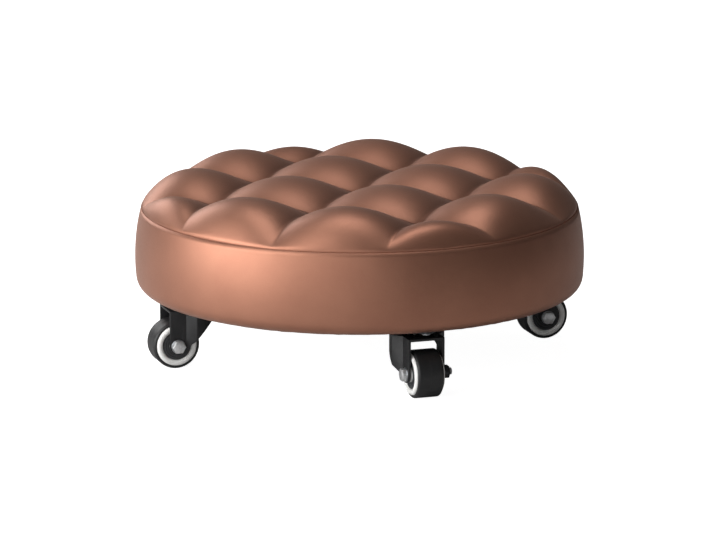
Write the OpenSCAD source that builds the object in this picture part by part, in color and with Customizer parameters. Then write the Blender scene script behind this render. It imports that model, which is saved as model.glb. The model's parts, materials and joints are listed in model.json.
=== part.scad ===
// Low round rolling stool: a square-tufted upholstered seat on four small swivel casters.
// The origin is on the floor below the middle of the seat. +Z is up, and X and Y follow the
// sides of the square that the casters stand on.

/* [Seat outside] */
// Widest diameter of the seat, part way up its side band
seat_d = 380.6; // [372:0.2:400]
// Height of the side band, from the underside to the seam
band_h = 70; // [64:1:84]
// Height of the widest ring of the band above the underside
band_widest_h = 26; // [22:1:34]
// Radius of the barrel curve of the band
band_curve_r = 185; // [120:5:280]
// Radius of the band's bottom corner
band_corner_r = 11; // [8:0.5:14]
// Height of the puffs above the seam
puff_h = 28; // [14:1:30]
// Distance between two grooves of the tufting
tuft_pitch = 91.5; // [80:0.5:94]
// Turn of the tufting against the square of the casters
tuft_turn = 3.5; // [-45:0.5:45]
// Depth of a groove midway between two crossings, as a share of the puff's height
groove_share = 0.5; // [0.2:0.02:0.56]
// Depth of a crossing of two grooves, as a share of the puff's height
crossing_share = 0.76; // [0.6:0.02:0.8]
// How the puffs bulge: 2 makes round domes, more makes flatter ones with steeper sides
dome_power = 2; // [1.6:0.1:3]
// How late the top rounds down to the seam: a higher power leaves a tighter rim
rim_power = 13; // [6:0.5:14]
// How the top meets the seam: 0.5 makes a full round, 1 a plain slope
rim_soft = 0.85; // [0.5:0.05:1]

/* [Seat inside] */
// Thickness of the cover fabric
cover_t = 1.2; // [0.8:0.1:1.6]
// Free play between a soft layer and the cover round it
layer_gap = 0.3; // [0.2:0.05:0.5]
// Thickness of the board
board_t = 12; // [9:1:18]
// Inner radius of the hem that the side cover is turned in to
hem_r = 132; // [126:0.5:140]
// How far the wadding reaches below the seam
wadding_drop = 6; // [4:0.5:10]
// Thickness of the backing cloth under the wadding
backing_t = 0.8; // [0.5:0.1:1.2]
// Radius of a tie's cord
tie_r = 0.8; // [0.6:0.1:1.2]
// Ring along the seam within which no crossing of the grooves is tied down
tie_margin = 45; // [36:1:48]
// Radius of the knot at a tie's lower end
knot_r = 2.5; // [2:0.1:4]
// Height of the knot
knot_h = 1.8; // [1.2:0.1:3]
// Thickness of the dust cover under the seat
dust_t = 0.6; // [0.4:0.1:1]
// Radius of the dust cover
dust_r = 168; // [166:0.5:170]
// Radius of the ring of staples
staple_ring_r = 160; // [156:0.5:162]
// Places for staples round the ring, before those under the plates are left out
staple_places = 32; // [16:4:40]
// Width of a staple
staple_w = 10; // [8:0.5:12]
// Thickness of the staple wire
staple_wire = 0.8; // [0.6:0.1:1]
// Length of a staple's legs
staple_leg = 8; // [6:0.5:10]

/* [Caster layout] */
// Distance between the kingpins along one side of their square
caster_square = 210; // [200:1:211]
// Distance that a wheel's axle trails behind its kingpin
trail = 17; // [14:0.5:18]
// Turn of the casters at rest, away from pointing straight outward
rest_turn = 0; // [-180:5:180]

/* [Caster plate and swivel] */
// Width of the square mounting plate
plate_w = 44; // [43:0.5:46]
// Thickness of the plate
plate_t = 2; // [1.6:0.1:2.5]
// Radius of the plate's corners
plate_corner_r = 6; // [5.5:0.25:8]
// Distance between the plate's screw holes
plate_hole_gap = 32; // [31:0.25:33]
// Depth of the race cup pressed down from the plate
cup_drop = 2.2; // [2:0.1:3]
// Outer radius of the race cup at its bottom
cup_r = 15.5; // [14.5:0.1:16]
// How much wider the cup is where it leaves the plate
cup_flare = 3; // [2.5:0.1:3.2]
// Radius of a swivel ball
ball_r = 2; // [1.9:0.05:2.2]
// Radius of the ring that the balls run on
ball_ring_r = 12; // [11.6:0.1:12.6]
// Number of balls in one swivel
ball_count = 14; // [8:1:15]
// Gap between the race cup and the crown of the fork
race_gap = 2.6; // [2.2:0.1:3]
// Radius of the kingpin
kingpin_r = 4; // [3.5:0.1:4.5]
// Radius of the kingpin's heads
kingpin_head_r = 6.8; // [6:0.1:7.5]
// Height of the kingpin's heads
kingpin_head_h = 1.6; // [1.4:0.1:1.8]
// Shank radius of a plate screw
screw_r = 1.9; // [1.6:0.1:2]
// Head radius of a plate screw
screw_head_r = 3.6; // [3.2:0.1:3.7]
// Head height of a plate screw
screw_head_h = 2.2; // [1.6:0.1:2.6]
// Length of a plate screw's shank
screw_len = 13; // [10:0.5:13.5]
// Radius of the flat on a plate screw's head
screw_flat_r = 2.5; // [2:0.1:3]
// Radius of a plate screw's blunt tip
screw_tip_r = 0.5; // [0.3:0.05:0.8]

/* [Fork] */
// Thickness of the fork's sheet
fork_t = 2; // [1.8:0.1:2.4]
// Gap between the wheel's top and the underside of the crown
crown_gap = 8.6; // [8:0.1:9]
// Radius of the round crown
fork_r = 23; // [22:0.25:24]
// Gap between the two legs at the axle
leg_gap = 27.2; // [26.8:0.1:28.4]
// Radius of a leg's rounded end at the axle
boss_r = 7; // [6.4:0.1:7.6]
// How far the flat part of a leg reaches behind the axle
leg_flat = 7; // [6.7:0.1:8]
// How far a leg reaches behind the axle at the crown
leg_reach = 35; // [31:0.5:36]

/* [Wheel] */
// Diameter of the wheel
wheel_d = 40; // [39:0.25:44]
// Width of the tyre
tyre_w = 22.5; // [21.5:0.25:23]
// Thickness of the tyre
tyre_t = 2.6; // [2.2:0.1:3]
// Radius of the tyre's shoulders
tyre_round = 2.2; // [1:0.1:2.4]
// Radius of the bead that makes the pale side ring
bead_r = 2.6; // [2.2:0.1:2.7]
// Room between the wheel's hub and a leg
hub_play = 0.6; // [0.4:0.05:0.8]
// Outer radius of the hub's barrel
hub_r = 6.5; // [6:0.1:7]
// Half the thickness of the web between hub and rim
web_half = 3; // [2:0.25:4]
// Thickness of a hub cover
hub_cover_t = 1; // [0.8:0.1:1.4]
// How far a hub cover lies in from the ring's outer face
hub_cover_inset = 1.1; // [0.8:0.05:1.6]
// Radius of the two raised rings on a hub cover
hub_ridge_r = 0.4; // [0.3:0.05:0.5]

/* [Axle] */
// Radius of the axle bolt's shank
axle_r = 3; // [2.5:0.1:3.2]
// Outer radius of the sleeve round the bolt
sleeve_r = 4; // [3.8:0.1:4.5]
// Width across the flats of the bolt's head and nut
hex_af = 10; // [9:0.25:11]
// Height of the bolt's head
head_h = 3.6; // [3:0.1:4.4]
// Height of the nut
nut_h = 5; // [4:0.1:5.5]
// How far the bolt's end stands out of the nut
bolt_end = 2.4; // [1:0.1:4]
// Radius of a washer
washer_r = 6; // [5.6:0.1:6.6]
// Thickness of a washer
washer_t = 0.8; // [0.6:0.1:1.2]
// Chamfer on the outer end of the bolt's head and the nut
hex_chamfer = 0.25; // [0.1:0.05:0.5]

/* [Fits] */
// Radial clearance of a part that turns on a pin
turn_fit = 0.06; // [0.02:0.01:0.1]
// Radial clearance of a fixed fastener in its hole
fixed_fit = 0.05; // [0.02:0.01:0.1]
// Clearance round a swivel ball
ball_fit = 0.1; // [0.05:0.01:0.2]
// Clearance round the ties and their knots in the soft layers
tie_play = 0.3; // [0.2:0.05:0.5]
// Gap between the crown and the kingpin's lower head
head_gap = 0.2; // [0.1:0.05:0.3]

/* [Hidden] */
$fn = 96;

// Each caster's name, the way it points from the seat's middle, and the side of its bolt head
CASTERS = [
    ["front_left", 225, 1],
    ["front_right", 315, -1],
    ["rear_right", 45, -1],
    ["rear_left", 135, 1],
];
CASTER_PARTS = [
    "plate", "plate_screws", "kingpin", "swivel_balls", "fork", "axle_bolt",
    "axle_nut", "axle_washers", "axle_sleeve", "wheel_core", "tyre", "hub_covers",
];

// Heights, from the floor up
axle_z = wheel_d / 2;
crown_z = wheel_d + crown_gap;
crown_top = crown_z + fork_t;
cup_z = crown_top + race_gap;
ball_z = (crown_top + cup_z) / 2;
plate_z = cup_z + cup_drop;
plate_top = plate_z + plate_t;
under_z = plate_top + dust_t;
board_z = under_z + cover_t;
board_top = board_z + board_t;
widest_z = under_z + band_widest_h;
seam_z = under_z + band_h;
wadding_z = seam_z - wadding_drop;
pad_top = wadding_z - backing_t;

// The band's outline: a barrel arc that runs into a round bottom corner
arc_x = seat_d / 2 - band_curve_r;
seam_r = arc_x + sqrt(pow(band_curve_r, 2) - pow(seam_z - widest_z, 2));
corner_z = under_z + band_corner_r;
corner_x = arc_x + sqrt(pow(band_curve_r - band_corner_r, 2) - pow(widest_z - corner_z, 2));
corner_join_z = widest_z - (widest_z - corner_z) * band_curve_r / (band_curve_r - band_corner_r);
board_r = corner_x - layer_gap;
backing_r = seam_r - cover_t - 2 * layer_gap;

// Caster sizes that follow from the others
caster_at = caster_square / 2;
leg_half = leg_gap / 2 + fork_t;
fork_front = trail + boss_r;
flare_x = trail - leg_flat;
tyre_half = tyre_w / 2;
rim_r = wheel_d / 2 - tyre_t;
hub_half = leg_gap / 2 - hub_play;
bead_x = rim_r - bead_r;
bead_y = hub_half - bead_r;
rim_inner_r = bead_x - bead_r;
hub_cover_y = hub_half - hub_cover_inset - hub_cover_t;
hex_r = hex_af / 2 / cos(30);
groove_r = ball_r + ball_fit;

// Half the angle, from the seat's middle, that a plate and half a staple take up on the ring
staple_clear = atan2(caster_at + plate_w / 2, caster_at - plate_w / 2) - 45
    + asin(staple_w / 2 / staple_ring_r);

// How far a cutter reaches past what it cuts
cut = 1;
// How far two shapes of one solid run into each other
lap = 0.5;

// Cells along one side of the mesh of the tufted top
mesh_n = 24;
// How strongly the mesh draws together at the grooves
mesh_grading = 0.5;
// How late a set-in skin moves in from the seam, and how late it stops moving down
mesh_inward = 3;
mesh_level = 12;
tiny = 0.001;

// Shape of the tufted top, with its grooves along X and Y

function mix(a, b, t) = a + (b - a) * t;

function graded(t) = t - mesh_grading * sin(360 * t) / (2 * PI);

function grid_coord(k) =
    let (u = 2 * k / mesh_n - 1, cells = 2 * abs(u), whole = floor(cells))
    sign(u) * (whole + graded(cells - whole)) / 2;

// The seam from the middle of a side, with s = 0, over a groove at 1/2 to the diagonal at 1
function seam_point(s) =
    let (x = 2 * s * tuft_pitch, a = mix(asin(tuft_pitch / seam_r), 45, 2 * s - 1))
    s < 1/2 ? [x, sqrt(pow(seam_r, 2) - pow(x, 2))] : seam_r * [sin(a), cos(a)];

// Places s and t of the mesh in one quarter, from 0 at the middle over 1/2 at a groove to 1 at
// the seam: square between the grooves, stretched to the round seam outside them
function quarter(s, t) =
    let (u = 2 * s - 1, v = 2 * t - 1, a = seam_point(s), b = seam_point(t))
    [
        u <= 0 ? 2 * s * tuft_pitch
            : v <= 0 ? mix(tuft_pitch, b[1], u)
            : v * a[0] + u * b[1] + tuft_pitch * (1 - u) * (1 - v) - u * v * seam_point(1)[0],
        v <= 0 ? 2 * t * tuft_pitch
            : u <= 0 ? mix(tuft_pitch, a[1], v)
            : v * a[1] + u * b[0] + tuft_pitch * (1 - u) * (1 - v) - u * v * seam_point(1)[1],
    ];

// 0 at the middle of a puff and 1 at a groove
function groove(v) =
    let (t = abs(v) / tuft_pitch) pow(abs(2 * (t - floor(t)) - 1), dome_power);

function rim_round(r) = pow(max(0, 1 - pow(r / seam_r, rim_power)), rim_soft);

function rise(p) =
    let (a = groove(p[0]), b = groove(p[1]))
    puff_h * rim_round(norm(p))
        * (1 - groove_share * (a + b) - (crossing_share - 2 * groove_share) * a * b);

// A point of the top, set in by d from the outer face, for grid places s and t from -1 to 1
function skin(s, t, d) =
    let (
        m = max(abs(s), abs(t)),
        c = quarter(abs(s), abs(t)),
        p = [sign(s) * c[0], sign(t) * c[1]],
        q = p * (1 - d / seam_r * pow(m, mesh_inward))
    )
    [q[0], q[1], seam_z + rise(p) - d * (1 - pow(m, mesh_level))];

function skin_grid(d) =
    [for (i = [0:mesh_n]) for (j = [0:mesh_n]) skin(grid_coord(i), grid_coord(j), d)];

function at(i, j) = i * (mesh_n + 1) + j;

// The grid's edge, counterclockwise from above
EDGE = concat(
    [for (k = [0:mesh_n - 1]) at(k, 0)],
    [for (k = [0:mesh_n - 1]) at(mesh_n, k)],
    [for (k = [0:mesh_n - 1]) at(mesh_n - k, mesh_n)],
    [for (k = [0:mesh_n - 1]) at(0, mesh_n - k)]
);
EDGE_LEN = len(EDGE);

// Two triangles in each cell, split along the diagonal that points away from the middle
TOP_FACES = [
    for (i = [0:mesh_n - 1]) for (j = [0:mesh_n - 1])
        let (
            a = at(i, j), b = at(i, j + 1), c = at(i + 1, j + 1), d = at(i + 1, j),
            outward = (i < mesh_n / 2) == (j < mesh_n / 2)
        )
        each outward ? [[a, b, c], [a, c, d]] : [[a, b, d], [b, c, d]]
];

function flipped(faces, shift) = [for (f = faces) [f[2] + shift, f[1] + shift, f[0] + shift]];

// Places where two grooves cross and a tie goes down
CROSSINGS = [
    for (i = [-2:2]) for (j = [-2:2])
        if (norm([i, j]) * tuft_pitch < seam_r - tie_margin) [i * tuft_pitch, j * tuft_pitch]
];

// Angles of the staples, clear of the four mounting plates
STAPLE_ANGLES = [
    for (k = [0:staple_places - 1])
        let (a = 360 * (k + 0.5) / staple_places)
        if (abs((a % 90) - 45) > staple_clear) a
];

// Outline of the band as a half section, set in by d from the outer face
module band_section(d) {
    intersection() {
        translate([arc_x, widest_z]) circle(r = band_curve_r - d, $fn = 200);
        translate([0, corner_join_z]) square([seat_d, seam_z - corner_join_z]);
    }
    translate([corner_x, corner_z]) circle(r = band_corner_r - d);
    translate([0, under_z + d]) square([corner_x, band_corner_r - d]);
}

// Holes for the plate screws, in anything that they pass
module screw_holes(r, z0, z1) {
    for (c = CASTERS) plate_corners(c) translate([0, 0, z0]) cylinder(r = r, h = z1 - z0);
}

module plate_corners(c) {
    at_kingpin(c) for (sx = [-1, 1]) for (sy = [-1, 1])
        translate([sx * plate_hole_gap / 2, sy * plate_hole_gap / 2]) children();
}

module at_crossings() {
    rotate(tuft_turn) for (p = CROSSINGS) translate(p) children();
}

module at_staples() {
    for (a = STAPLE_ANGLES) rotate(a) translate([staple_ring_r, 0]) children();
}

module staple_legs(w, z0, z1) {
    for (s = [-1, 1])
        translate([-w / 2, s * (staple_w - staple_wire) / 2 - w / 2, z0]) cube([w, w, z1 - z0]);
}

// Slots that the staples' legs go through
module staple_slots() {
    at_staples() staple_legs(
        staple_wire + 2 * fixed_fit, plate_top - cut, plate_top + staple_leg + fixed_fit);
}

// Seat

module tufted_cover() {
    points = concat(skin_grid(0), skin_grid(cover_t));
    inner = (mesh_n + 1) * (mesh_n + 1);
    rim = [
        for (k = [0:EDGE_LEN - 1])
            let (a = EDGE[k], b = EDGE[(k + 1) % EDGE_LEN])
            each [[a, b, b + inner], [a, b + inner, a + inner]]
    ];
    color("#9c6650") rotate(tuft_turn) polyhedron(points, concat(TOP_FACES, flipped(TOP_FACES, inner), rim));
}

module side_cover() {
    color("#9c6650") difference() {
        rotate_extrude() difference() {
            band_section(0);
            band_section(cover_t);
            square([hem_r, board_z]);
        }
        screw_holes(screw_r + fixed_fit, under_z - cut, board_z + cut);
        staple_slots();
    }
}

module wadding() {
    d = cover_t + layer_gap;
    top = skin_grid(d);
    count = len(top);
    bottom = [for (e = EDGE) [top[e][0], top[e][1], wadding_z]];
    points = concat(top, bottom, [[0, 0, wadding_z]]);
    sides = [
        for (k = [0:EDGE_LEN - 1])
            let (n = (k + 1) % EDGE_LEN, a = EDGE[k], b = EDGE[n], c = count + k, e = count + n)
            each [[a, b, e], [a, e, c], [count + EDGE_LEN, c, e]]
    ];
    color("#f2efe6") difference() {
        rotate(tuft_turn) polyhedron(points, concat(TOP_FACES, sides));
        at_crossings() translate([0, 0, wadding_z - cut])
            cylinder(r = tie_r + tie_play, h = wadding_drop + puff_h + cut);
    }
}

module backing_cloth() {
    color("#d8d2c4") difference() {
        translate([0, 0, pad_top]) cylinder(r = backing_r, h = backing_t);
        at_crossings() translate([0, 0, pad_top - cut])
            cylinder(r = tie_r + fixed_fit, h = backing_t + 2 * cut);
    }
}

module tuft_ties() {
    color("#ece5d2") rotate(tuft_turn) for (p = CROSSINGS) translate(p) {
        translate([0, 0, pad_top - knot_h]) cylinder(r = knot_r, h = knot_h);
        translate([0, 0, pad_top - knot_h])
            cylinder(r = tie_r, h = seam_z + rise(p) - cover_t - tie_play - pad_top + knot_h);
    }
}

module foam_pad() {
    color("#e9dfa6") difference() {
        rotate_extrude() intersection() {
            band_section(cover_t + layer_gap);
            translate([0, board_top]) square([seat_d, pad_top - board_top]);
        }
        at_crossings() translate([0, 0, pad_top - knot_h - tie_play])
            cylinder(r = knot_r + tie_play, h = knot_h + tie_play + cut);
    }
}

module seat_board() {
    color("#c9a56b") difference() {
        translate([0, 0, board_z]) cylinder(r = board_r, h = board_t);
        screw_holes(screw_r + fixed_fit, board_z - cut, plate_z + screw_len + fixed_fit);
        staple_slots();
    }
}

module dust_cover() {
    color("#1d1d1f") difference() {
        translate([0, 0, plate_top]) cylinder(r = dust_r, h = dust_t);
        screw_holes(screw_r + fixed_fit, plate_top - cut, under_z + cut);
        staple_slots();
    }
}

module staples() {
    color("#b9bcc0") at_staples() {
        staple_legs(staple_wire, plate_top - staple_wire, plate_top + staple_leg);
        translate([-staple_wire / 2, -staple_w / 2, plate_top - staple_wire])
            cube([staple_wire, staple_w, staple_wire]);
    }
}

// Places of a caster's parts

// The kingpin's axis, square to the seat
module at_kingpin(c) {
    translate([caster_at * sign(cos(c[1])), caster_at * sign(sin(c[1]))]) children();
}

// The kingpin's axis, turned so that the wheel trails along +X
module at_swivel(c) {
    at_kingpin(c) rotate(c[1] + rest_turn) children();
}

// The axle, with +Z pointing out to the chosen side
module on_axle(side) {
    translate([trail, 0, axle_z]) rotate([-90 * side, 0, 0]) children();
}

module axle_hole(r) {
    on_axle(1) cylinder(r = r, h = 2 * (fork_r + cut), center = true);
}

module ball_groove() {
    rotate_extrude() translate([ball_ring_r, ball_z]) circle(r = groove_r, $fn = 48);
}

// Caster

module plate() {
    corner = plate_w / 2 - plate_corner_r;
    top_r = cup_r + cup_flare;
    color("#26272a") difference() {
        union() {
            translate([0, 0, plate_z]) linear_extrude(plate_t) difference() {
                union() {
                    square([plate_w, 2 * corner], center = true);
                    square([2 * corner, plate_w], center = true);
                    for (sx = [-1, 1]) for (sy = [-1, 1])
                        translate([sx * corner, sy * corner]) circle(r = plate_corner_r);
                }
                circle(r = top_r);
            }
            rotate_extrude() polygon([
                [0, cup_z], [cup_r, cup_z], [top_r, plate_z], [top_r + lap, plate_z],
                [top_r + lap, plate_top], [top_r - plate_t, plate_top],
                [cup_r - plate_t, cup_z + plate_t], [0, cup_z + plate_t],
            ]);
        }
        translate([0, 0, cup_z - cut]) cylinder(r = kingpin_r + fixed_fit, h = plate_t + 2 * cut);
        ball_groove();
        for (sx = [-1, 1]) for (sy = [-1, 1])
            translate([sx * plate_hole_gap / 2, sy * plate_hole_gap / 2, plate_z - cut])
                cylinder(r = screw_r + fixed_fit, h = plate_t + 2 * cut);
    }
}

module plate_screws() {
    point = 2 * screw_r;
    color("#8d9095") for (sx = [-1, 1]) for (sy = [-1, 1])
        translate([sx * plate_hole_gap / 2, sy * plate_hole_gap / 2, plate_z]) {
            translate([0, 0, -screw_head_h])
                cylinder(r1 = screw_flat_r, r2 = screw_head_r, h = screw_head_h / 2);
            translate([0, 0, -screw_head_h / 2]) cylinder(r = screw_head_r, h = screw_head_h / 2);
            cylinder(r = screw_r, h = screw_len - point);
            translate([0, 0, screw_len - point])
                cylinder(r1 = screw_r, r2 = screw_tip_r, h = point);
        }
}

module kingpin() {
    low = crown_z - head_gap - kingpin_head_h;
    high = cup_z + plate_t;
    color("#8d9095") {
        translate([0, 0, low]) cylinder(r1 = kingpin_r, r2 = kingpin_head_r, h = kingpin_head_h);
        translate([0, 0, low]) cylinder(r = kingpin_r, h = high - low);
        translate([0, 0, high]) cylinder(r1 = kingpin_head_r, r2 = kingpin_r, h = kingpin_head_h);
    }
}

module swivel_balls() {
    color("#c4c7cb") for (k = [0:ball_count - 1])
        rotate(360 * k / ball_count) translate([ball_ring_r, 0, ball_z]) sphere(r = ball_r, $fn = 32);
}

// Outline of the fork from above, set in by d: straight legs that flare out at 45 degrees to
// a round crown, which they meet s further out on each side
module fork_plan(d, front) {
    x0 = flare_x - d * tan(45 / 2);
    v0 = leg_half - d;
    r = fork_r - d;
    s = (x0 - v0 + sqrt(2 * r * r - pow(x0 + v0, 2))) / 2;
    polygon([
        [front, v0], [x0, v0], [x0 - s, v0 + s], [x0 - s - lap, v0 + s - lap],
        [x0 - s - lap, lap - v0 - s], [x0 - s, -v0 - s], [x0, -v0], [front, -v0],
    ]);
    intersection() {
        circle(r = r);
        translate([-r, -r]) square([r + x0 - s, 2 * r]);
    }
}

// Outline of a leg from the side: its rear edge runs straight down to its round end
module leg_profile() {
    rear = [trail - leg_reach, crown_z];
    axle = [trail, axle_z];
    reach = norm(axle - rear);
    slope = atan2(axle[1] - rear[1], axle[0] - rear[0]) - asin(boss_r / reach);
    touch = rear + sqrt(pow(reach, 2) - pow(boss_r, 2)) * [cos(slope), sin(slope)];
    translate(axle) circle(r = boss_r);
    polygon([
        rear, [rear[0], crown_z + fork_t / 2], [fork_front, crown_z + fork_t / 2],
        [fork_front, axle_z], axle, touch,
    ]);
}

module fork() {
    color("#1b1b1d") difference() {
        union() {
            translate([0, 0, crown_z]) linear_extrude(fork_t) fork_plan(0, fork_front);
            intersection() {
                linear_extrude(crown_top) difference() {
                    fork_plan(0, fork_front);
                    fork_plan(fork_t, fork_front + cut);
                }
                rotate([90, 0, 0]) linear_extrude(2 * (fork_r + cut), center = true) leg_profile();
            }
        }
        axle_hole(axle_r + fixed_fit);
        translate([0, 0, crown_z - cut]) cylinder(r = kingpin_r + turn_fit, h = fork_t + 2 * cut);
        ball_groove();
    }
}

// A hexagon with a corner at the top, its outer end rounded off
module hex_body(h) {
    intersection() {
        rotate(30) cylinder(r = hex_r, h = h, $fn = 6);
        cylinder(r1 = hex_af / 2 + h, r2 = hex_af / 2 - hex_chamfer, h = h);
    }
}

module axle_bolt(side) {
    seat = leg_half + washer_t;
    back = seat + nut_h + bolt_end;
    color("#b9bcc0") on_axle(side) {
        translate([0, 0, -back]) cylinder(r = axle_r, h = back + seat);
        translate([0, 0, seat]) hex_body(head_h);
    }
}

module axle_nut(side) {
    color("#4a4c50") on_axle(-side) difference() {
        translate([0, 0, leg_half + washer_t]) hex_body(nut_h);
        cylinder(r = axle_r + fixed_fit, h = leg_half + washer_t + nut_h + cut);
    }
}

module axle_washers() {
    color("#a3a6aa") for (side = [-1, 1]) on_axle(side) translate([0, 0, leg_half]) difference() {
        cylinder(r = washer_r, h = washer_t);
        translate([0, 0, -cut]) cylinder(r = axle_r + fixed_fit, h = washer_t + 2 * cut);
    }
}

module axle_sleeve() {
    color("#a3a6aa") on_axle(1) difference() {
        cylinder(r = sleeve_r, h = leg_gap, center = true);
        cylinder(r = axle_r + fixed_fit, h = leg_gap + 2 * cut, center = true);
    }
}

// Half sections of the wheel, with the radius along X and the axle along Y

module core_section() {
    bore = sleeve_r + turn_fit;
    translate([bore, -hub_half]) square([hub_r - bore, 2 * hub_half]);
    translate([hub_r - tiny, -web_half]) square([rim_inner_r - hub_r + 2 * tiny, 2 * web_half]);
    translate([rim_inner_r, -bead_y]) square([rim_r - rim_inner_r, 2 * bead_y]);
    for (s = [-1, 1]) translate([bead_x, s * bead_y]) circle(r = bead_r, $fn = 48);
}

module tyre_section() {
    inner = rim_r + fixed_fit;
    outer = wheel_d / 2;
    translate([inner, -tyre_half]) square([outer - tyre_round - inner, tyre_w]);
    translate([inner, tyre_round - tyre_half]) square([outer - inner, tyre_w - 2 * tyre_round]);
    for (s = [-1, 1]) translate([outer - tyre_round, s * (tyre_half - tyre_round)])
        intersection() {
            circle(r = tyre_round, $fn = 48);
            translate([inner - outer + tyre_round, -tyre_round])
                square([outer - inner, 2 * tyre_round]);
        }
}

module wheel_core() {
    color("#e9e9e6") on_axle(1) rotate_extrude() core_section();
}

module tyre() {
    color("#222223") on_axle(1) rotate_extrude() tyre_section();
}

module hub_covers() {
    inner = hub_r + fixed_fit;
    outer = rim_inner_r - fixed_fit;
    color("#3a3b3e") for (side = [-1, 1]) on_axle(side) rotate_extrude() {
        translate([inner, hub_cover_y]) square([outer - inner, hub_cover_t]);
        for (k = [1, 2]) translate([inner + k * (outer - inner) / 3, hub_cover_y + hub_cover_t])
            circle(r = hub_ridge_r, $fn = 32);
    }
}

tufted_cover();
side_cover();
wadding();
backing_cloth();
tuft_ties();
foam_pad();
seat_board();
dust_cover();
staples();
for (c = CASTERS) {
    at_kingpin(c) plate();
    at_kingpin(c) plate_screws();
    at_kingpin(c) kingpin();
    at_swivel(c) swivel_balls();
    at_swivel(c) fork();
    at_swivel(c) axle_bolt(c[2]);
    at_swivel(c) axle_nut(c[2]);
    at_swivel(c) axle_washers();
    at_swivel(c) axle_sleeve();
    at_swivel(c) wheel_core();
    at_swivel(c) tyre();
    at_swivel(c) hub_covers();
}
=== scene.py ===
"""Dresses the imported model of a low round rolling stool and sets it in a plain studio.

The seat is upholstered in a coated fabric with a satin copper pearl: a square-tufted cushion on
top, a plain barrel-shaped band round the side and a hem that is turned under and stapled to a
plywood board. Below it stand four small swivel casters of black pressed steel.
"""

import json
import logging
import math
from dataclasses import dataclass
from enum import Enum
from typing import Optional, Sequence, Union

import bmesh
import bpy
from mathutils import Matrix, Vector, noise


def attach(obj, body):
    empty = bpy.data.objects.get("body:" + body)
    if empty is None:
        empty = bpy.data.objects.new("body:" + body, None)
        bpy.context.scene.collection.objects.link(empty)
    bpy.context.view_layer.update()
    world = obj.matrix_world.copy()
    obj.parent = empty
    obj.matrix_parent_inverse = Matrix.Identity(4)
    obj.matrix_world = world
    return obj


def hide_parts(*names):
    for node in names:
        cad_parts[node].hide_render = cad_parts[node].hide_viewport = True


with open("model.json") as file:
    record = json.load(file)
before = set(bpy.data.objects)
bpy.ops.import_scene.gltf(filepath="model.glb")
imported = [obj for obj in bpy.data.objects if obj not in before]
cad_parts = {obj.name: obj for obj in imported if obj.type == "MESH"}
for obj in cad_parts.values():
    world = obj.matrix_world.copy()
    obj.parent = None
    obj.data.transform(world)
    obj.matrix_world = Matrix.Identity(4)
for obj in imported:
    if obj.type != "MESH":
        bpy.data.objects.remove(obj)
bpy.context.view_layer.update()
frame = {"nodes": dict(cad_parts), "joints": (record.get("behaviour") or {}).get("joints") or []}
log = logging.getLogger("rolling_stool")

Colour = tuple[float, float, float, float]
Point = tuple[float, float]
Mesh = bmesh.types.BMesh
Piece = bpy.types.Object
Node = bpy.types.Node
Socket = bpy.types.NodeSocket
MM = 0.001


class Axle(Enum):
    """The two ends of a wheel's axle, as the sign of their side in the caster's own frame."""

    POSITIVE = 1
    NEGATIVE = -1


class Corner(Enum):
    """The four casters, each with the way it trails and the side of its bolt's head."""

    FRONT_LEFT = ("front_left", 225.0, Axle.POSITIVE)
    FRONT_RIGHT = ("front_right", 315.0, Axle.NEGATIVE)
    REAR_RIGHT = ("rear_right", 45.0, Axle.NEGATIVE)
    REAR_LEFT = ("rear_left", 135.0, Axle.POSITIVE)

    @property
    def label(self) -> str:
        """Returns the caster's name, as its nodes carry it."""
        return self.value[0]

    @property
    def turn(self) -> float:
        """Returns the way that the caster trails, in radians from +X."""
        return math.radians(self.value[1])

    @property
    def head_side(self) -> int:
        """Returns the side of the axle bolt's head."""
        return self.value[2].value


def linear(hex_colour: str) -> Colour:
    """Turns a colour as written in a paint chart into the linear values that shaders take.

    Args:
        hex_colour: six hex digits of an sRGB colour.

    Returns:
        Linear red, green and blue, with full opacity.
    """
    parts = [int(hex_colour[i : i + 2], 16) / 255 for i in (0, 2, 4)]
    red, green, blue = (
        p / 12.92 if p <= 0.04045 else ((p + 0.055) / 1.055) ** 2.4 for p in parts
    )
    return red, green, blue, 1.0


def shade(hex_colour: str, share: float) -> str:
    """Returns a colour at a share of its brightness, both as six hex digits."""
    return "".join(f"{int(int(hex_colour[i : i + 2], 16) * share):02x}" for i in (0, 2, 4))


class Nodes:
    """The nodes of a material or of the world, which starts with none."""

    def __init__(self, owner: Union[bpy.types.Material, bpy.types.World]) -> None:
        """Empties the owner's node tree.

        Args:
            owner: the material or the world.
        """
        owner.use_nodes = True
        self.tree = owner.node_tree
        self.tree.nodes.clear()

    def add(
        self,
        kind: str,
        inputs: Optional[dict[Union[str, int], object]] = None,
        stops: Sequence[tuple[float, str]] = (),
        **settings: object,
    ) -> Node:
        """Adds one node with its settings, its values and its links.

        Args:
            kind: the node's type name, without the leading ShaderNode.
            inputs: a value or another node's output for each named or numbered input.
            stops: position and hex colour of each stop of a ramp, from low to high.
            **settings: the node's own settings.

        Returns:
            The new node.
        """
        node = self.tree.nodes.new("ShaderNode" + kind)
        for name, value in settings.items():
            setattr(node, name, value)
        for name, value in (inputs or {}).items():
            if isinstance(value, Socket):
                self.tree.links.new(value, node.inputs[name])
            else:
                node.inputs[name].default_value = value
        for _ in stops[2:]:
            node.color_ramp.elements.new(0.5)
        for k, (position, colour) in enumerate(stops):
            element = node.color_ramp.elements[k]
            element.position, element.color = position, linear(colour)
        return node


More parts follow.
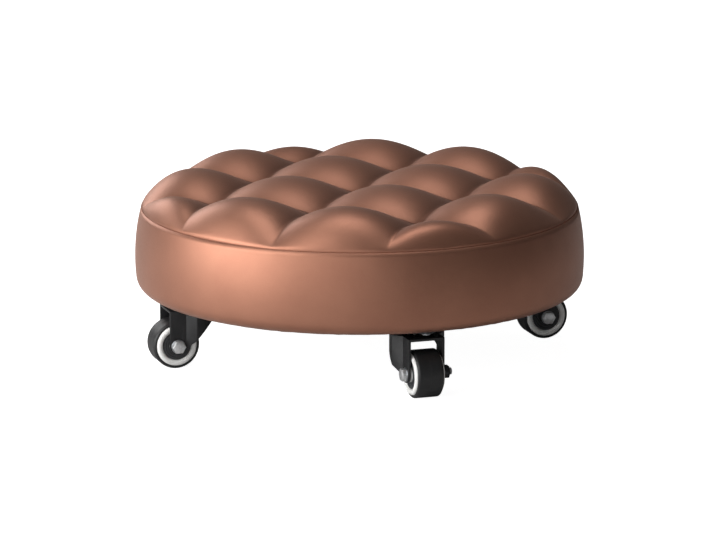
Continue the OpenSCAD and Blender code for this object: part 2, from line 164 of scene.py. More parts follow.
class Surface(Nodes):
    """The nodes of a material: one shader and the patterns that detail it.

    The patterns lie in the piece's own coordinates, in metres.
    """

    def __init__(self, material: bpy.types.Material, finish: "Finish") -> None:
        """Starts the material with the plain values of its finish.

        Args:
            material: the material, whose nodes are replaced.
            finish: what its surface is.
        """
        super().__init__(material)
        self.finish = finish
        self.shader = self.add(
            "BsdfPrincipled",
            {
                "Base Color": linear(finish.colour),
                "Roughness": finish.roughness,
                "Metallic": finish.metallic,
            },
        )
        self.add("OutputMaterial", {"Surface": self.shader.outputs[0]})
        self.place = self.add("TexCoord").outputs["Object"]

    def at(self, width_mm: float, **inputs: object) -> dict[Union[str, int], object]:
        """Returns a texture's inputs, with its scale from the real width of one cell of it."""
        return {"Vector": self.place, "Scale": 1 / (width_mm * MM), **inputs}

    def drive(self, name: str, output: Socket) -> None:
        """Links an output to one of the shader's inputs."""
        self.tree.links.new(output, self.shader.inputs[name])

    def bump(self, *heights: tuple[Socket, float]) -> None:
        """Raises the surface by one or more patterns.

        Args:
            *heights: each pattern's output with its real height in millimetres.
        """
        total: Union[Socket, float] = 0.0
        for height, depth in heights:
            total = self.add(
                "Math", {0: height, 1: depth * MM, 2: total}, operation="MULTIPLY_ADD"
            ).outputs[0]
        raised = self.add("Bump", {"Height": total, "Strength": 1.0, "Distance": 1.0})
        self.drive("Normal", raised.outputs["Normal"])

    def mottle(self, patch_mm: float, darker: str) -> Socket:
        """Varies the colour in soft patches, as dye and handling leave it.

        Args:
            patch_mm: the patches' usual width.
            darker: the colour of the darker patches, as six hex digits.

        Returns:
            The mixed colour's output.
        """
        patches = self.add("TexNoise", self.at(patch_mm, Detail=3.0, Roughness=0.55))
        stops = [(0.32, darker), (0.68, self.finish.colour)]
        mixed = self.add("ValToRGB", {"Fac": patches.outputs["Fac"]}, stops).outputs["Color"]
        self.drive("Base Color", mixed)
        return mixed

    def tint(self, factor: Socket, under: Socket, over: str) -> None:
        """Blends one colour over another for the shader's base colour.

        Args:
            factor: how much of the upper colour shows.
            under: the lower colour's output.
            over: the upper colour, as six hex digits.
        """
        inputs = {"Factor": factor, 6: under, 7: linear(over)}
        self.drive("Base Color", self.add("Mix", inputs, data_type="RGBA").outputs[2])

    def gloss(self, pattern: Socket, top: float, less: float, more: float) -> None:
        """Lets the roughness follow a pattern.

        Args:
            pattern: the output that it follows, from 0 up.
            top: the pattern's value at which the surface is most matt.
            less: how much less rough the surface is where the pattern is 0.
            more: how much rougher it is at the top value.
        """
        rough = self.finish.roughness
        inputs = {"Value": pattern, "From Max": top, "To Min": rough - less, "To Max": rough + more}
        self.drive("Roughness", self.add("MapRange", inputs).outputs[0])


@dataclass(frozen=True)
class Finish:
    """What every finish shares: a name, a base colour and a plain surface."""

    name: str
    colour: str  # six hex digits, as every colour of a finish
    roughness: float = 0.5
    metallic: float = 0.0

    def material(self) -> bpy.types.Material:
        """Returns the material, made the first time that it is asked for."""
        made = bpy.data.materials.get(self.name)
        if not made:
            made = bpy.data.materials.new(self.name)
            made.diffuse_color = linear(self.colour)
            self.detail(Surface(made, self))
        return made

    def detail(self, surface: Surface) -> None:
        """Adds what sets this finish apart. A bare finish has nothing more.

        Args:
            surface: the material's nodes, with its plain values set.
        """


@dataclass(frozen=True)
class CoatedFabric(Finish):
    """Polyurethane-coated upholstery fabric with a copper pearl in its top coat.

    The coat gives a satin, nearly metallic sheen that turns grey where the eye skims it. Its
    embossed grain is fine and shallow, and painted shade darkens the bottom of its folds.
    """

    patch_mm: float = 42.0  # the pearl's patches
    darker: str = "a2705b"
    fold: str = "5a3628"  # painted shade at the bottom of the folds and grooves
    crease_mm: float = 9.0
    grain_mm: float = 1.1  # one pebble of the embossed grain
    fibre_mm: float = 0.45  # the fibres that print through
    skim: str = "d8c8c0"  # the sheen's colour

    def detail(self, surface: Surface) -> None:
        """Adds the pearl's patches, painted fold shade, the creases, the grain and the sheen.

        Args:
            surface: the material's nodes.
        """
        add, at = surface.add, surface.at
        patches = surface.mottle(self.patch_mm, self.darker)
        # painted shade: the fold attribute darkens the colour towards the bottom of the folds
        depth = add("Attribute", attribute_name="fold").outputs["Fac"]
        surface.tint(depth, patches, self.fold)
        creases = add("TexNoise", at(self.crease_mm, Detail=4.0, Roughness=0.6))
        pebbles = add("TexVoronoi", at(self.grain_mm, Randomness=0.9), feature="SMOOTH_F1")
        fibres = add("TexNoise", at(self.fibre_mm, Detail=2.0))
        surface.bump(
            (creases.outputs["Fac"], 0.05),
            (pebbles.outputs["Distance"], 0.03),
            (fibres.outputs["Fac"], 0.012),
        )
        surface.gloss(pebbles.outputs["Distance"], 0.8, less=0.04, more=0.06)
        sheen = {"Sheen Weight": 0.12, "Sheen Roughness": 0.45, "Sheen Tint": linear(self.skim)}
        for name, value in sheen.items():
            surface.shader.inputs[name].default_value = value


@dataclass(frozen=True)
class PaintedSteel(Finish):
    """Pressed steel sheet under a black electrophoretic paint.

    The paint is semi-gloss with a faint orange peel and uneven gloss.
    """

    peel_mm: float = 1.6  # one dimple of the orange peel
    speck_mm: float = 2.4  # the patches of uneven gloss
    patch_mm: float = 14.0
    darker: str = "151517"

    def detail(self, surface: Surface) -> None:
        """Adds the orange peel and the paint's uneven colour and gloss.

        Args:
            surface: the material's nodes.
        """
        surface.mottle(self.patch_mm, self.darker)
        peel = surface.add("TexNoise", surface.at(self.peel_mm, Detail=1.0))
        specks = surface.add("TexVoronoi", surface.at(self.speck_mm))
        surface.bump((peel.outputs["Fac"], 0.035))
        surface.gloss(specks.outputs["Distance"], 0.7, less=0.05, more=0.07)


@dataclass(frozen=True)
class PlatedSteel(Finish):
    """Turned, headed or ground steel, mostly under a thin zinc plating.

    The surface is silvery or dark with a faint cloudiness, over fine marks of the tool.
    """

    cloud_mm: float = 3.0
    cloud_shade: float = 0.82  # how bright the clouds are beside the rest
    mark_mm: float = 0.35  # from one tool mark to the next

    def detail(self, surface: Surface) -> None:
        """Adds the cloudy plating and the fine tool marks.

        Args:
            surface: the material's nodes.
        """
        add, at = surface.add, surface.at
        clouds = add("TexNoise", at(self.cloud_mm, Detail=4.0)).outputs["Fac"]
        stops = [(0.3, shade(self.colour, self.cloud_shade)), (0.7, self.colour)]
        surface.drive("Base Color", add("ValToRGB", {"Fac": clouds}, stops).outputs["Color"])
        marks = add("TexNoise", at(self.mark_mm, Detail=1.0))
        surface.bump((marks.outputs["Fac"], 0.012))
        surface.gloss(clouds, 1.0, less=0.06, more=0.1)


@dataclass(frozen=True)
class MouldedPlastic(Finish):
    """Injection-moulded ABS or nylon, smooth, with the faint spark texture of its mould."""

    texture_mm: float = 0.5  # the grit of the mould's texture
    patch_mm: float = 8.0
    stain: str = "d8d6d0"  # what handling leaves in the patches

    def detail(self, surface: Surface) -> None:
        """Adds the mould's texture and a faint unevenness of colour.

        Args:
            surface: the material's nodes.
        """
        surface.mottle(self.patch_mm, self.stain)
        grit = surface.add("TexNoise", surface.at(self.texture_mm, Detail=2.0))
        surface.bump((grit.outputs["Fac"], 0.01))


@dataclass(frozen=True)
class TreadRubber(Finish):
    """Soft black polyurethane tread, cast round the wheel's rim.

    It is nearly matt, with fine rolling scuffs and a little floor dust.
    """

    scuff_mm: float = 0.4
    dust: str = "4a4947"
    patch_mm: float = 5.0
    darker: str = "1a1a1b"

    def detail(self, surface: Surface) -> None:
        """Adds the scuffs and the dust.

        Args:
            surface: the material's nodes.
        """
        under = surface.mottle(self.patch_mm, self.darker)
        scuffs = surface.at(self.scuff_mm, Detail=3.0, Roughness=0.7)
        fine = surface.add("TexNoise", scuffs).outputs["Fac"]
        inputs = {"Value": fine, "From Min": 0.5, "From Max": 0.8, "To Max": 0.25}
        grey = surface.add("MapRange", inputs)
        surface.tint(grey.outputs[0], under, self.dust)
        surface.bump((fine, 0.03))


@dataclass(frozen=True)
class Plywood(Finish):
    """Poplar plywood, sawn round and left raw.

    Its faces show long grain and its edge shows the veneers as light and dark bands.
    """

    grain_mm: Point = (45.0, 3.0)  # its length and its width
    dark_grain: str = "a9824d"
    pale_grain: str = "dcc191"
    veneer_mm: float = 1.7
    end_grain: str = "8b6a40"  # the dark bands of the edge

    def detail(self, surface: Surface) -> None:
        """Adds the face grain and the veneers' bands.

        Args:
            surface: the material's nodes.
        """
        add, place = surface.add, surface.place
        length, width = (1 / (size * MM) for size in self.grain_mm)
        along = add("Mapping", {"Vector": place, "Scale": (length, width, width)}).outputs[0]
        grain = add("TexNoise", {"Vector": along, "Scale": 1.0, "Detail": 5.0}).outputs["Fac"]
        stops = [(0.25, self.dark_grain), (0.55, self.colour), (0.8, self.pale_grain)]
        face = add("ValToRGB", {"Fac": grain}, stops).outputs["Color"]
        height = add("SeparateXYZ", {0: place}).outputs["Z"]
        pair = 2 * self.veneer_mm * MM
        layer = add("Math", {0: height, 1: pair}, operation="PINGPONG").outputs[0]
        dark = add("MapRange", {"Value": layer, "From Max": pair, "To Max": 0.35})
        surface.tint(dark.outputs[0], face, self.end_grain)
        surface.bump((grain, 0.08))


@dataclass(frozen=True)
class Cloth(Finish):
    """A thin cloth or fleece: crossed threads for a weave, or pressed dots for a fleece."""

    thread_mm: float = 1.0  # from one thread, or one pressed dot, to the next
    weave: bool = True  # woven, and not spun-bonded
    relief_mm: float = 0.12  # of the threads or the dots
    fibre_mm: float = 0.6  # the loose fibres
    patch_mm: float = 18.0
    patch_shade: float = 0.8  # how bright the darker patches are

    def detail(self, surface: Surface) -> None:
        """Adds the threads, or the pressed dots, and the loose fibres.

        Args:
            surface: the material's nodes.
        """
        add, at = surface.add, surface.at
        surface.mottle(self.patch_mm, shade(self.colour, self.patch_shade))
        fibres = add("TexNoise", at(self.fibre_mm, Detail=4.0, Roughness=0.7))
        heights = [(fibres.outputs["Fac"], 0.05)]
        if self.weave:
            for direction in ("X", "Y"):
                wave = at(self.thread_mm * 2 * math.pi)
                threads = add("TexWave", wave, bands_direction=direction)
                heights.append((threads.outputs["Fac"], self.relief_mm))
        else:
            dots = add("TexVoronoi", at(self.thread_mm, Randomness=0.0))
            inputs = {"Value": dots.outputs["Distance"], "From Min": 0.18, "From Max": 0.4}
            heights.append((add("MapRange", inputs).outputs[0], self.relief_mm))
        surface.bump(*heights)
        surface.shader.inputs["Sheen Weight"].default_value = 0.2


@dataclass(frozen=True)
class Foam(Finish):
    """Cut polyurethane foam, pale yellow, with its open cells."""

    cell_mm: float = 1.4
    depth_mm: float = 0.4
    patch_mm: float = 30.0
    darker: str = "d3c683"

    def detail(self, surface: Surface) -> None:
        """Adds the open cells.

        Args:
            surface: the material's nodes.
        """
        surface.mottle(self.patch_mm, self.darker)
        cells = surface.add("TexVoronoi", surface.at(self.cell_mm))
        surface.bump((cells.outputs["Distance"], self.depth_mm))
        surface.shader.inputs["Subsurface Weight"].default_value = 0.1


COPPER_FABRIC = CoatedFabric("copper_pearl_coated_fabric", "aa7761", 0.44, 0.8)
BLACK_STEEL = PaintedSteel("black_painted_pressed_steel", "18181a", 0.46)
PLATE_STEEL = PaintedSteel("black_painted_plate_steel", "232326", 0.42)
BRIGHT_ZINC = PlatedSteel("bright_zinc_plated_bolt_steel", "f4f5f6", 0.3, 0.75)
DULL_ZINC = PlatedSteel("dull_zinc_plated_steel", "aeb1b5", 0.4, 1.0)
DARK_OXIDE = PlatedSteel("dark_oxide_nut_steel", "55575b", 0.42, 1.0)
BALL_STEEL = PlatedSteel("greased_bearing_steel", "3b3936", 0.4, 1.0)
WHITE_NYLON = MouldedPlastic("white_moulded_nylon", "f8f8f6", 0.3, stain="f0efec")
GREY_COVER = MouldedPlastic("dark_grey_moulded_abs", "37383a", 0.45, stain="2d2e30")
BLACK_TREAD = TreadRubber("black_cast_polyurethane_tread", "1d1d1e", 0.5)
BOARD = Plywood("raw_poplar_plywood", "c9a56b", 0.7)
BACKING = Cloth("unbleached_woven_backing", "d8d2c4", 0.85, thread_mm=1.2)
FLEECE = Cloth("black_spun_bonded_fleece", "222224", 0.9, thread_mm=2.2, weave=False)
TIE_CORD = Cloth("twisted_linen_tie_cord", "e4dcc8", 0.8, thread_mm=0.8)
FOAM = Foam("cut_polyurethane_foam", "e6d999", 0.9)


def finished(
    name: str,
    mesh: Mesh,
    finish: Finish,
    body: str,
    stands_for: Sequence[str],
    crease: Optional[float] = None,
) -> Piece:
    """Turns a bmesh into a piece of the stool at the origin, with its place in its mesh.

    Args:
        name: the piece's name.
        mesh: the shape, in metres, which is freed.
        finish: what its surface is.
        body: the CAD body that it moves with.
        stands_for: the CAD nodes that it replaces.
        crease: edges that turn by more than this many degrees are drawn sharp.

    Returns:
        The new piece.
    """
    data = bpy.data.meshes.new(name)
    mesh.to_mesh(data)
    mesh.free()
    data.materials.append(finish.material())
    for polygon in data.polygons:
        polygon.use_smooth = True
    if crease is not None:
        data.set_sharp_from_angle(angle=math.radians(crease))
    piece = bpy.data.objects.new(name, data)
    bpy.context.scene.collection.objects.link(piece)
    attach(piece, body)
    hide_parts(*stands_for)
    return piece


def dress(node: str, finish: Finish) -> None:
    """Gives a finish of its own to a CAD node that stays.

    Args:
        node: the CAD node's name.
        finish: what its surface is.
    """
    data = frame["nodes"][node].data
    data.materials.clear()
    data.materials.append(finish.material())


def arc(centre: Point, radii: Point, start: float, sweep: float, steps: int) -> list[Point]:
    """Returns the points of a round part of an outline.

    Args:
        centre: the arc's middle.
        radii: its half width and half height.
        start: where it starts, in radians.
        sweep: how far it turns, in radians.
        steps: how many steps it takes.
    """
    angles = [start + sweep * k / steps for k in range(steps + 1)]
    return [
        (centre[0] + radii[0] * math.cos(a), centre[1] + radii[1] * math.sin(a)) for a in angles
    ]


def turned(outline: Sequence[Point], steps: int, place: Matrix, closed: bool = True) -> Mesh:
    """Turns an outline round an axis, as a lathe does.

    Args:
        outline: radius and height of each point, in millimetres.
        steps: how many steps make the full turn.
        place: where the axis goes; the height runs along its Z.
        closed: whether the outline's last point joins its first.

    Returns:
        The turned shape, with its faces outwards.
    """
    mesh = bmesh.new()
    points = [mesh.verts.new((r * MM, 0.0, h * MM)) for r, h in outline]
    edges = [mesh.edges.new(pair) for pair in zip(points, points[1:])]
    if closed:
        edges.append(mesh.edges.new((points[-1], points[0])))
    bmesh.ops.spin(
        mesh, geom=points + edges, cent=(0, 0, 0), axis=(0, 0, 1), angle=2 * math.pi,
        steps=steps, use_merge=True,
    )
    bmesh.ops.remove_doubles(mesh, verts=mesh.verts, dist=1e-6)
    bmesh.ops.recalc_face_normals(mesh, faces=mesh.faces)
    bmesh.ops.transform(mesh, matrix=place, verts=mesh.verts)
    return mesh


def joined(parts: Sequence[Mesh]) -> Mesh:
    """Puts several bmeshes into the first one.

    Args:
        parts: the shapes; all but the first are freed.

    Returns:
        The first shape, with the others in it.
    """
    whole = parts[0]
    for part in parts[1:]:
        data = bpy.data.meshes.new("part")
        part.to_mesh(data)
        part.free()
        whole.from_mesh(data)
        bpy.data.meshes.remove(data)
    return whole


def bevelled(mesh: Mesh, edges: Sequence[bmesh.types.BMEdge], width_mm: float) -> None:
    """Rounds some edges of a shape, as far as the faces beside them allow.

    Args:
        mesh: the shape.
        edges: the edges.
        width_mm: the width of the rounding.
    """
    bmesh.ops.bevel(
        mesh, geom=edges, offset=width_mm * MM, offset_type="OFFSET", affect="EDGES",
        segments=2, profile=0.5, material=-1, clamp_overlap=True,
    )


def rounded_copy(node: str, width_mm: float, finish: Finish, body: str) -> Piece:
    """Copies a CAD node and rounds its sharp edges, as pressing and tumbling leave them.

    Args:
        node: the CAD node that the copy stands for.
        width_mm: the width of the rounding.
        finish: what its surface is.
        body: the CAD body that it moves with.

    Returns:
        The new piece.
    """
    flat, sharp = math.radians(1.0), math.radians(32.0)
    mesh = bmesh.new()
    mesh.from_mesh(frame["nodes"][node].data)
    bmesh.ops.remove_doubles(mesh, verts=mesh.verts, dist=2e-6)
    bmesh.ops.dissolve_limit(mesh, angle_limit=flat, verts=mesh.verts, edges=mesh.edges)
    edges = [e for e in mesh.edges if e.is_manifold and e.calc_face_angle() > sharp]
    bevelled(mesh, edges, width_mm)
    bmesh.ops.triangulate(mesh, faces=[f for f in mesh.faces if len(f.verts) > 4])
    return finished(node + "_rounded", mesh, finish, body, [node], crease=30)


def disc_grid(mesh: Mesh, radius_mm: float, cells: int) -> list[bmesh.types.BMVert]:
    """Adds a round sheet of four-sided cells.

    Args:
        mesh: the mesh that it goes into.
        radius_mm: the sheet's radius.
        cells: how many cells lie along each side of the grid that is rounded.

    Returns:
        The sheet's vertices, at height 0.
    """
    made = bmesh.ops.create_grid(mesh, x_segments=cells, y_segments=cells, size=1.0)["verts"]
    for v in made:
        s, t = v.co.x, v.co.y
        v.co.x = s * math.sqrt(max(0.0, 1 - t * t / 2)) * radius_mm * MM
        v.co.y = t * math.sqrt(max(0.0, 1 - s * s / 2)) * radius_mm * MM
    return made


def smoothstep(low: float, high: float, value: float) -> float:
    """Returns 0 below low, 1 above high, and a smooth turn between them."""
    t = min(1.0, max(0.0, (value - low) / (high - low)))
    return t * t * (3 - 2 * t)


@dataclass
class TuftedTop:
    """The cushion on top: puffs in a square grid, tied down where the grooves cross.

    Sizes are in millimetres, and heights are counted from the floor.
    """

    seam_radius: float = 185.0
    seam_height: float = 128.0
    puff_height: float = 28.0
    pitch: float = 91.5
    turn: float = 3.5  # degrees from the square of casters
    groove_share: float = 0.5  # of the puffs' height
    crossing_share: float = 0.76
    dome_power: float = 2.0
    rim_power: float = 13.0
    rim_soft: float = 0.85
    base_height: float = 122.0
    tuck: float = 0.985  # the base's width as a share of the seam's
    cells: int = 80
    grading: float = 0.5  # how far the mesh is drawn into the grooves
    pressure: float = 3.0  # in the simulation's own unit
    frames: int = 20
    inflate_cap: float = 1.0  # the most that a point moves
    tie_hold: Point = (0.45, 0.9)  # how deep a crossing's tie starts to hold, and holds fully
    groove_hold: Point = (0.6, 0.95)
    groove_grip: float = 0.5
    seam_hold: Point = (1.0, 2.0)  # how far below and inside the seam the hold is full
    fold_fade: Point = (30.0, 8.0)  # the gaps from the seam between which the painted shade fades
    # how strong the painted shade is in a groove, and where two grooves cross
    groove_dark: float = 0.5
    crossing_dark: float = 0.6

    def groove(self, v: float) -> float:
        """Returns 0 at the middle of a puff and 1 at a groove, for a place across the rows."""
        return abs(2 * ((v / self.pitch) % 1.0) - 1) ** self.dome_power

    def rise(self, x: float, y: float) -> float:
        """Returns the top's height above the seam at a place.

        Args:
            x: the place's X, before the tufting is turned.
            y: its Y.
        """
        inside = max(0.0, 1 - (math.hypot(x, y) / self.seam_radius) ** self.rim_power)
        a, b = self.groove(x), self.groove(y)
        depth = self.groove_share * (a + b - 2 * a * b) + self.crossing_share * a * b
        return self.puff_height * inside**self.rim_soft * (1 - depth)

    def graded(self, place: float) -> float:
        """Draws a place on the grid towards the grooves, which lie at 0, 1/2 and 1.

        Args:
            place: the place, from -1 to 1.

        Returns:
            The place that it is drawn to.
        """
        cells = 2 * abs(place)
        whole = math.floor(cells)
        t = cells - whole
        t -= self.grading * math.sin(2 * math.pi * t) / (2 * math.pi)
        return math.copysign((whole + t) / 2, place)

    def seam_point(self, s: float) -> Point:
        """Returns a point of the seam, from the middle of a side at 0 to the diagonal at 1.

        Args:
            s: how far along the seam the point lies.
        """
        if s < 0.5:
            x = 2 * s * self.pitch
            return x, math.sqrt(self.seam_radius**2 - x * x)
        groove = math.asin(self.pitch / self.seam_radius)
        angle = groove + (math.pi / 4 - groove) * (2 * s - 1)
        return self.seam_radius * math.sin(angle), self.seam_radius * math.cos(angle)

    def place(self, s: float, t: float) -> Point:
        """Maps a place on the grid to the seat, so that the grid's lines run in the grooves.

        Args:
            s: place across, from -1 to 1, with a groove at 0 and at 1/2 on each side.
            t: place along, in the same way.

        Returns:
            The place on the seat, square between the grooves and round at the seam.
        """
        across, along = abs(s), abs(t)
        u, v = 2 * across - 1, 2 * along - 1
        a, b = self.seam_point(across), self.seam_point(along)
        x, y = 2 * across * self.pitch, 2 * along * self.pitch
        if u > 0 and v > 0:
            inner = self.pitch * (1 - u) * (1 - v) - u * v * self.seam_point(1.0)[0]
            x = v * a[0] + u * b[1] + inner
            y = v * a[1] + u * b[0] + inner
        elif u > 0:
            x = self.pitch + (b[1] - self.pitch) * u
        elif v > 0:
            y = self.pitch + (a[1] - self.pitch) * v
        return math.copysign(x, s), math.copysign(y, t)

    def sheet(self, mesh: Mesh) -> list[bmesh.types.BMVert]:
        """Adds one flat sheet of cells whose lines run in the grooves.

        Args:
            mesh: the mesh that it goes into.

        Returns:
            The sheet's vertices.
        """
        made = bmesh.ops.create_grid(
            mesh, x_segments=self.cells, y_segments=self.cells, size=1.0
        )["verts"]
        for v in made:
            x, y = self.place(self.graded(v.co.x), self.graded(v.co.y))
            v.co = Vector((x, y, 0)) * MM
        return made

    def shell(self) -> Mesh:
        """Returns the closed cushion before it is inflated: the puffs over a flat base."""
        mesh = bmesh.new()
        base = self.sheet(mesh)
        bmesh.ops.reverse_faces(mesh, faces=mesh.faces)
        for v in self.sheet(mesh):
            v.co.z = (self.seam_height + self.rise(v.co.x / MM, v.co.y / MM)) * MM
        rims = [e for e in mesh.edges if e.is_boundary]
        for v in base:
            v.co = Vector((v.co.x * self.tuck, v.co.y * self.tuck, self.base_height * MM))
        bmesh.ops.bridge_loops(mesh, edges=rims)
        bmesh.ops.recalc_face_normals(mesh, faces=mesh.faces)
        return mesh

    def inflate(self, piece: Piece) -> None:
        """Blows the puffs up between their ties with a cloth simulation, and applies it.

        Args:
            piece: the cushion, whose groove crossings, seam and base stay put.
        """
        scene, data = bpy.context.scene, piece.data
        rest = [v.co.copy() for v in data.vertices]
        group = piece.vertex_groups.new(name="held")
        for index, place in enumerate(rest):
            group.add([index], self.held(place / MM), "REPLACE")
        cloth = piece.modifiers.new("cloth", "CLOTH")
        settings = cloth.settings
        settings.quality = 6
        settings.mass = 0.3
        settings.tension_stiffness = settings.compression_stiffness = 25
        settings.shear_stiffness = 12
        settings.bending_stiffness = 8.0
        settings.use_pressure = True
        settings.uniform_pressure_force = self.pressure
        settings.effector_weights.gravity = 0
        settings.vertex_group_mass = "held"
        settings.pin_stiffness = 1.0
        cloth.collision_settings.use_collision = False
        cloth.point_cache.frame_start = 1
        cloth.point_cache.frame_end = self.frames
        for step in range(1, self.frames + 1):
            scene.frame_set(step)
        moved = piece.evaluated_get(bpy.context.evaluated_depsgraph_get())
        shifts = [v.co - place for v, place in zip(moved.to_mesh().vertices, rest)]
        moved.to_mesh_clear()
        piece.modifiers.remove(cloth)
        piece.vertex_groups.remove(group)
        scene.frame_set(1)
        cap = self.inflate_cap * MM
        for v, place, shift in zip(data.vertices, rest, shifts):
            length = shift.length
            share = cap * math.tanh(length / cap) / length if length else 1.0
            v.co = place + shift * share

    def held(self, place: Vector) -> float:
        """Returns how firmly a point is held while the puffs swell, from 0 to 1.

        Args:
            place: the point, in millimetres.
        """
        radius = math.hypot(place.x, place.y)
        below, inside = self.seam_hold
        if place.z < self.seam_height - below or radius > self.seam_radius - inside:
            return 1.0
        across, along = self.groove(place.x), self.groove(place.y)
        return max(
            smoothstep(*self.tie_hold, across * along),
            self.groove_grip * smoothstep(*self.groove_hold, max(across, along)),
        )

    def fold(self, place: Vector) -> float:
        """Returns how deep a point lies in the folds, from 0 to 1, for the painted shade there.

        Args:
            place: the point, in millimetres.
        """
        across, along = self.groove(place.x) ** 4, self.groove(place.y) ** 4
        start, end = (self.seam_radius - gap for gap in self.fold_fade)
        fade = 1 - smoothstep(start, end, math.hypot(place.x, place.y))
        dark = self.groove_dark * (across + along) + self.crossing_dark * across * along
        return fade * min(1.0, dark)

    def build(self) -> Piece:
        """Builds the cushion, inflates it, and dresses it.

        Returns:
            The new piece.
        """
        replaced = ["tufted_cover", "wadding"]
        piece = finished(
            "tufted_cushion", self.shell(), COPPER_FABRIC, "seat", replaced
        )
        self.inflate(piece)
        # painted shade in the folds, kept in the fold attribute for the fabric's colour
        painted_shades = piece.data.attributes.new("fold", "FLOAT", "POINT").data
        for v, depth in zip(piece.data.vertices, painted_shades):
            depth.value = self.fold(v.co / MM)
        piece.data.transform(Matrix.Rotation(math.radians(self.turn), 4, "Z"))
        smooth = piece.modifiers.new("smooth", "SUBSURF")
        smooth.levels = smooth.render_levels = 1
        return piece


def thickened(piece: Piece, thickness_mm: float) -> bpy.types.Modifier:
    """Gives a sheet its thickness, inwards from its faces.

    Args:
        piece: the sheet.
        thickness_mm: its thickness.

    Returns:
        The modifier that thickens it.
    """
    solid = piece.modifiers.new("thickness", "SOLIDIFY")
    solid.thickness = thickness_mm * MM
    solid.offset = -1.0
    return solid


@dataclass
class SideBand:
    """The plain band round the side, turned in under the board as a hem.

    Sizes are in millimetres, and heights are counted from the floor.
    """

    arc_centre: float = 5.3
    arc_radius: float = 185.0
    widest: float = 84.0
    seam_height: float = 128.0
    seam_radius: float = 185.0
    lip: tuple[Point, ...] = ((-1.6, -1.9), (-0.35, -1.0))  # steps from the seam
    under: float = 58.0
    corner_radius: float = 11.0
    corner_centre: Point = (178.65, 69.0)
    hem: tuple[float, ...] = (176.0, 173.5, 171.0, 169.0, 158.0, 145.0, 132.0)  # radii
    fleece_radius: float = 168.0  # the hem is flat inside it
    cover: float = 1.2
    swell: float = 0.5
    gather: float = 1.1
    steps: int = 240
    rows: int = 14  # of the wall
    top_gap: float = 0.9  # from the seam down to the wall's first row
    swell_waves: float = 3.0  # how fine the swell is round the seat
    swell_height: float = 60.0
    gather_waves: float = 20.0

    def outline(self) -> list[Point]:
        """Returns the band's outer half section, from the seam down and in to the hem."""
        points = [(self.seam_radius + r, self.seam_height + h) for r, h in self.lip]
        top = self.seam_height - self.top_gap
        corner_x, corner_z = self.corner_centre
        low = self.widest + (corner_z - self.widest) * self.arc_radius / (
            self.arc_radius - self.corner_radius
        )
        for k in range(self.rows + 1):
            z = top + (low - top) * k / self.rows
            x = self.arc_centre + math.sqrt(self.arc_radius**2 - (z - self.widest) ** 2)
            points.append((x, z))
        start = math.atan2(low - corner_z, points[-1][0] - corner_x)
        radii = (self.corner_radius, self.corner_radius)
        points += arc(self.corner_centre, radii, start, -math.pi / 2 - start, 8)[1:]
        return points + [(r, self.under) for r in self.hem]

    def build(self) -> Piece:
        """Builds the band with its hem's gathers, and dresses it.

        Returns:
            The new piece.
        """
        mesh = turned(self.outline(), self.steps, Matrix(), closed=False)
        for v in mesh.verts:
            v.co += self.give(v.co / MM) * MM
        bmesh.ops.recalc_face_normals(mesh, faces=mesh.faces)
        piece = finished(
            "side_band", mesh, COPPER_FABRIC, "seat", ["side_cover"]
        )
        thickened(piece, self.cover).use_even_offset = True
        return piece

    def give(self, place: Vector) -> Vector:
        """Returns how far the fabric strays from its true outline at a place.

        Args:
            place: a point of the outline, in millimetres.

        Returns:
            The shift, in millimetres: a soft swell in the wall, and gathers in the hem.
        """
        radius, angle = math.hypot(place.x, place.y), math.atan2(place.y, place.x)
        around = Vector((math.cos(angle), math.sin(angle), 0))
        if place.z > self.under + 2:
            wall = smoothstep(self.under + 2, self.under + 20, place.z) * (
                1 - smoothstep(self.seam_height - 16, self.seam_height - 2, place.z)
            )
            outward = Vector((place.x, place.y, 0)).normalized()
            lift = Vector((0, 0, place.z / self.swell_height))
            swell = noise.noise(around * self.swell_waves + lift)
            return outward * swell * self.swell * wall
        gather = smoothstep(self.fleece_radius + 1, self.fleece_radius + 6, radius) * (
            1 - smoothstep(self.corner_centre[0] - 1, self.corner_centre[0] + 5, radius)
        )
        fold = noise.noise(around * self.gather_waves + Vector((0, 0, 1.5)))
        return Vector((0, 0, -abs(fold) * self.gather * gather))


@dataclass
class FoamBlock:
    """The firm foam block under the tufted cushion, which only its covers hide.

    Sizes are in millimetres, and heights are counted from the floor.
    """

    radius: float = 186.0
    low: float = 71.4
    high: float = 121.0
    arc_centre: float = 5.3
    arc_radius: float = 183.4
    widest: float = 84.0
    low_edge: tuple[Point, ...] = ((168.0, 0.0), (178.0, 1.0))  # radius, and step from low
    high_edge: tuple[Point, ...] = ((182.6, -1.2), (176.0, 0.0))  # radius, and step from high

    def build(self) -> Piece:
        """Builds the block with soft edges and the gentle swell of its sides.

        Returns:
            The new piece.
        """
        outline: list[Point] = [(0.0, self.low)]
        outline += [(r, self.low + step) for r, step in self.low_edge]
        for k in range(1, 10):
            z = self.low + 1 + (self.high - self.low - 4) * k / 10
            swell = self.arc_centre + math.sqrt(self.arc_radius**2 - (z - self.widest) ** 2)
            outline.append((min(swell, self.radius), z))
        outline += [(r, self.high + step) for r, step in self.high_edge]
        outline.append((0.0, self.high))
        mesh = turned(outline, 96, Matrix(), closed=False)
        piece = finished("foam_block", mesh, FOAM, "seat", ["foam_pad"])
        return piece


